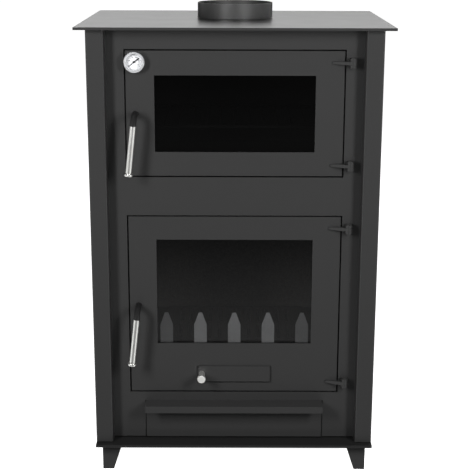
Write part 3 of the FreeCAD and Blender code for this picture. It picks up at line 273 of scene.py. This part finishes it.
def add_dial_numbers():
    for reading in range(0, DIAL_TOP + 1, DIAL_NUMBERED):
        curve = bpy.data.curves.new(f"dial_number_{reading}", "FONT")
        curve.body = str(reading)
        curve.size = NUMBER_SIZE
        curve.align_x, curve.align_y = "CENTER", "CENTER"
        curve.extrude = PRINT_HEIGHT / 2
        text = bpy.data.objects.new("numeral", curve)
        shape = bmesh.new()
        shape.from_mesh(text.to_mesh())
        spot, _ = on_dial(reading, NUMBER_RADIUS)
        bmesh.ops.transform(shape, matrix=Matrix.Translation(spot) @ Matrix.Rotation(QUARTER_TURN, 4, "X"),
                            verts=shape.verts)
        add_piece(f"dial_number_{reading}", shape, "oven_door", "needle_black")
        bpy.data.objects.remove(text)


def add_collar_weld():
    """The weld bead round the foot of the flue collar."""
    low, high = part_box("flue_collar")
    centre = Vector(((low.x + high.x) / 2, (low.y + high.y) / 2, low.z))
    radius = (high.x - low.x) / 2
    bead = 0.9 * MM
    beside = Matrix.Translation(centre + Vector((radius, 0, 0)))
    shape = bmesh.new()
    upright = beside @ Matrix.Rotation(QUARTER_TURN, 4, "X")
    made = bmesh.ops.create_circle(shape, segments=10, radius=bead, matrix=upright)
    outline = made["verts"] + shape.edges[:]
    bmesh.ops.spin(shape, geom=outline, cent=centre, axis=(0, 0, 1), angle=4 * QUARTER_TURN, steps=96,
                   use_merge=True)
    bmesh.ops.bisect_plane(shape, geom=shape.verts[:] + shape.edges[:] + shape.faces[:], plane_co=centre,
                           plane_no=(0, 0, 1), clear_inner=True)
    add_piece("collar_weld", shape, "stove_body", "black_paint")


def add_screw_heads(name, spots, face, radius, height, body):
    """Round-headed screws on a face that looks along +Y."""
    shape = bmesh.new()
    for x, z in spots:
        upright = Matrix.Translation((x, face + height / 2, z)) @ Matrix.Rotation(-QUARTER_TURN, 4, "X")
        head = bmesh.ops.create_cone(shape, cap_ends=True, segments=20, radius1=radius, radius2=radius,
                                     depth=height, matrix=upright)
        rim = {vert for vert in head["verts"] if vert.co.y > face + height / 2}
        top = [edge for edge in shape.edges if rim.issuperset(edge.verts)]
        bmesh.ops.bevel(shape, geom=top, offset=height * 0.5, offset_type="OFFSET", segments=3, profile=0.5,
                        affect="EDGES", material=-1)
    add_piece(name, shape, body, "zinc_steel")


def add_clip_screws(door):
    """One screw through the foot of each glass clip."""
    foot_middle, clip_sheet, pitch = 7.3 * MM, 1.5 * MM, 125 * MM
    low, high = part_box(f"{door}_door_glass")
    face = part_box(f"{door}_door_plate")[1].y + clip_sheet
    rows = (low.z - foot_middle, high.z + foot_middle)
    spots = [(column * pitch, row) for column in (-1, 0, 1) for row in rows]
    add_screw_heads(f"{door}_clip_screws", spots, face, radius=3.6 * MM, height=2.2 * MM,
                    body=f"{door}_door")


def add_bars(name, bars, body, slot):
    """Thin square bars, each between two opposite corners."""
    shape = bmesh.new()
    for corners in bars:
        low, high = (Vector(corner) for corner in corners)
        size = Matrix.Diagonal((*(high - low), 1))
        bmesh.ops.create_cube(shape, size=1, matrix=Matrix.Translation((low + high) / 2) @ size)
    add_piece(name, shape, body, slot)


# Thin black cords, painted shade laid in the shadow gaps, lie this far off the pieces beside them
SHADE_CORD_GAP = 0.05 * MM


def add_drawer_cords():
    """Black cords down the sides of the ash drawer's front and along its foot, as painted shade for the
    shadow gaps round it.
    """
    width, foot_height, foot_depth, front_sheet = 1.4 * MM, 1.8 * MM, 0.6 * MM, 2.0 * MM
    low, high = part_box("ash_drawer_front")
    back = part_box("front_panel")[0].y - SHADE_CORD_GAP
    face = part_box("ash_drawer_tray")[0].y - front_sheet - SHADE_CORD_GAP
    left, right = low.x - SHADE_CORD_GAP, high.x + SHADE_CORD_GAP
    bars = [((left - width, back - width, low.z), (left, back, high.z)),
            ((right, back - width, low.z), (right + width, back, high.z)),
            ((left, face - foot_depth, low.z), (right, face, low.z + foot_height))]
    add_bars("drawer_shade_cords", bars, "ash_drawer", "rope_seal")


def add_slide_cords():
    """Black cords round the sides and the foot of the air slide's plate, as painted shade for the shadow
    lines round it.
    """
    width = 0.9 * MM
    low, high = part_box("air_slide_plate")
    left, right, under = low.x - SHADE_CORD_GAP, high.x + SHADE_CORD_GAP, low.z - SHADE_CORD_GAP
    bars = [((left - width, low.y, under), (left, high.y, high.z)),
            ((right, low.y, under), (right + width, high.y, high.z)),
            ((left - width, low.y, under - width), (right + width, high.y, under))]
    add_bars("slide_shade_cords", bars, "air_slide", "rope_seal")


def add_foot_cords():
    """Black cords where the front panel and the posts beside it stand on the base, as painted shade for the
    shadow gap along that joint.
    """
    post_width, height, depth, drawer_room = 34 * MM, 2.2 * MM, 0.8 * MM, 2 * MM
    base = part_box("base_plate")[1].z
    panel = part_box("front_panel")[0].y - SHADE_CORD_GAP
    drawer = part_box("ash_drawer_front")
    bars = []
    for casing, side in (("left_side_casing", -1), ("right_side_casing", 1)):
        low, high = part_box(casing)
        outer = low.x if side < 0 else high.x
        inner = outer - side * post_width
        beside = (drawer[0].x if side < 0 else drawer[1].x) + side * drawer_room
        post = low.y - SHADE_CORD_GAP
        bars.append(((inner, panel - depth, base), (beside, panel, base + height)))
        bars.append(((outer, post - depth, base), (inner, post, base + height / 2)))
    add_bars("foot_shade_cords", bars, "stove_body", "rope_seal")


add_dial_marks()
add_dial_numbers()
# The drawer, slide and foot cords are painted shade: black strips laid where shadow gaps fall
add_drawer_cords()
add_slide_cords()
add_foot_cords()
add_collar_weld()
add_clip_screws("oven")
add_clip_screws("fire")


SKY_COLOUR = "#4a4a4a"
# Tones of the ground by how steeply it is looked down on, and of the boards by how far ahead they stand
GROUND_TONES = [(0.12, 0.026), (0.26, 0.085), (0.34, 0.28)]
BOARD_TONES = [(0.0, 1.1), (0.64, 1.1), (0.77, 0.0)]
# The sky fades into the ground over this much on both sides of the horizon
HORIZON_FADE = 0.03
FLOOR_HALF = 60
WALL_RADIUS = 55
WALL_HEIGHT = 60


def add_board(name, shape):
    """A matt white board of the studio, which glows so that it stays white in every view."""
    mesh = bpy.data.meshes.new(name)
    shape.to_mesh(mesh)
    shape.free()
    sockets = {"Emission Color": linear("#ffffff"), "Emission Strength": 1.0}
    mesh.materials.append(new_finish(f"matt_white_{name}", "#fafafa", 0.9, sockets)[0])
    board = bpy.data.objects.new(name, mesh)
    bpy.context.scene.collection.objects.link(board)
    # The stove takes its light from the lamps and the surroundings, and not off the bright boards
    board.visible_diffuse = board.visible_glossy = False
    return board


def add_floor():
    shape = bmesh.new()
    bmesh.ops.create_grid(shape, x_segments=1, y_segments=1, size=FLOOR_HALF)
    add_board("studio_floor", shape)


def add_backdrop():
    """A round white wall far off, which low views see above the floor's end."""
    shape = bmesh.new()
    bmesh.ops.create_cone(shape, cap_ends=False, segments=64, radius1=WALL_RADIUS, radius2=WALL_RADIUS,
                          depth=WALL_HEIGHT)
    wall = add_board("studio_wall", shape)
    wall.visible_shadow = False


def add_surroundings():
    """A dim sky over a ground that is dark far off and pale close by, with white boards on both sides."""
    world = bpy.data.worlds.new("studio")
    world.use_nodes = True
    bpy.context.scene.world = world
    tree = world.node_tree
    direction = add_node(tree, "ShaderNodeTexCoord").outputs["Generated"]
    parts = add_node(tree, "ShaderNodeSeparateXYZ", {"Vector": direction})
    drop = add_node(tree, "ShaderNodeMath", {0: parts.outputs["Z"], 1: -1.0}, operation="MULTIPLY")
    ahead = add_node(tree, "ShaderNodeMath", {0: parts.outputs["Y"]}, operation="ABSOLUTE")
    greys = []
    for value, stops in ((drop, GROUND_TONES), (ahead, BOARD_TONES)):
        ramp = add_node(tree, "ShaderNodeValToRGB", {"Fac": value.outputs["Value"]})
        # A new ramp has two stops, and gets a third
        places = ramp.color_ramp.elements
        places.new(0.5)
        for element, (place, tone) in zip(places, stops):
            element.position = place
            element.color = (tone, tone, tone, 1)
        greys.append(ramp.outputs["Color"])
    # The boards are seen in reflections alone, and light nothing
    glossy = add_node(tree, "ShaderNodeLightPath").outputs["Is Glossy Ray"]
    ground, boards = greys
    below = add_node(tree, "ShaderNodeMix", {"Factor": glossy, "A": ground, "B": boards},
                     data_type="RGBA", blend_type="LIGHTEN")
    sky = add_node(tree, "ShaderNodeMapRange",
                   {"Value": drop.outputs["Value"], "From Min": HORIZON_FADE, "From Max": -HORIZON_FADE})
    tones = {"Factor": sky.outputs["Result"], "A": below.outputs["Result"], "B": linear(SKY_COLOUR)}
    tone = add_node(tree, "ShaderNodeMix", tones, data_type="RGBA")
    tree.links.new(tone.outputs["Result"], tree.nodes["Background"].inputs["Color"])


def add_softbox(name, place, target, size, watts):
    """A rectangular lamp, in metres, that lights the stove and is in no view itself."""
    lamp = bpy.data.lights.new(name, "AREA")
    lamp.shape = "RECTANGLE"
    lamp.size, lamp.size_y = size
    lamp.energy = watts
    box = bpy.data.objects.new(name, lamp)
    box.location = place
    box.rotation_euler = (Vector(target) - Vector(place)).to_track_quat("-Z", "Y").to_euler()
    box.visible_camera = False
    bpy.context.scene.collection.objects.link(box)
    return box


# Pieces that the gleam lamps fall on. The cooking plate isn't one, as it would glare in views from behind
GLEAMING = ("flue_collar", "oven_handle_grip", "oven_handle_cap", "fire_handle_grip", "fire_handle_cap",
            "air_slide_knob", "thermometer_case")


def add_front_lamps():
    """A weak fill and a softbox close by on each side, which no piece mirrors, and two gleam lamps."""
    gleaming = bpy.data.collections.new("gleaming")
    for name in GLEAMING:
        gleaming.objects.link(nodes[name])
    low_front, middle_front = (0, -0.2, 0.6), (0, -0.2, 0.75)
    fill = add_softbox("front_fill", place=(0, -2.2, 1.3), target=low_front, size=(0.6, 0.6), watts=6)
    fill.visible_glossy = False
    for name, side, watts in (("left", -1, 22.5), ("right", 1, 21.5)):
        softbox = add_softbox(f"{name}_softbox", place=(side * 1.0, -1.3, 1.08), target=low_front,
                              size=(0.3, 0.7), watts=watts)
        softbox.visible_glossy = False
        gleam = add_softbox(f"{name}_gleam", place=(side * 1.2, -2.2, 1.5), target=middle_front,
                            size=(0.8, 0.3), watts=40)
        gleam.visible_diffuse = False
        gleam.light_linking.receiver_collection = gleaming


def add_studio():
    add_floor()
    add_backdrop()
    add_surroundings()
    add_softbox("rear_softbox", place=(0.8, 3.2, 2.2), target=(0, 0, 0.9), size=(4.5, 2.0), watts=42)
    add_front_lamps()


# The viewpoint, fitted to the stove's straight edges
FOCAL_PIXELS = 1163.4
VIEW_PLACE = (-0.0030, -2.3966, 1.0794)
VIEW_PITCH = math.radians(14.828)
VIEW_YAW = math.radians(0.102)
VIEW_ROLL = math.radians(0.188)


def add_camera():
    camera = bpy.data.objects.new("camera", bpy.data.cameras.new("camera"))
    camera.data.sensor_width = SENSOR_MM
    camera.data.lens = FOCAL_PIXELS * SENSOR_MM / IMAGE_SIDE
    turn = (Matrix.Rotation(-VIEW_YAW, 4, "Z") @ Matrix.Rotation(QUARTER_TURN - VIEW_PITCH, 4, "X")
            @ Matrix.Rotation(VIEW_ROLL, 4, "Z"))
    camera.matrix_world = Matrix.Translation(VIEW_PLACE) @ turn
    bpy.context.scene.collection.objects.link(camera)
    bpy.context.scene.camera = camera


add_studio()
add_camera()
bpy.context.scene.view_settings.view_transform = "Standard"
# A gamma just below one deepens the dark tones
bpy.context.scene.view_settings.gamma = 0.9
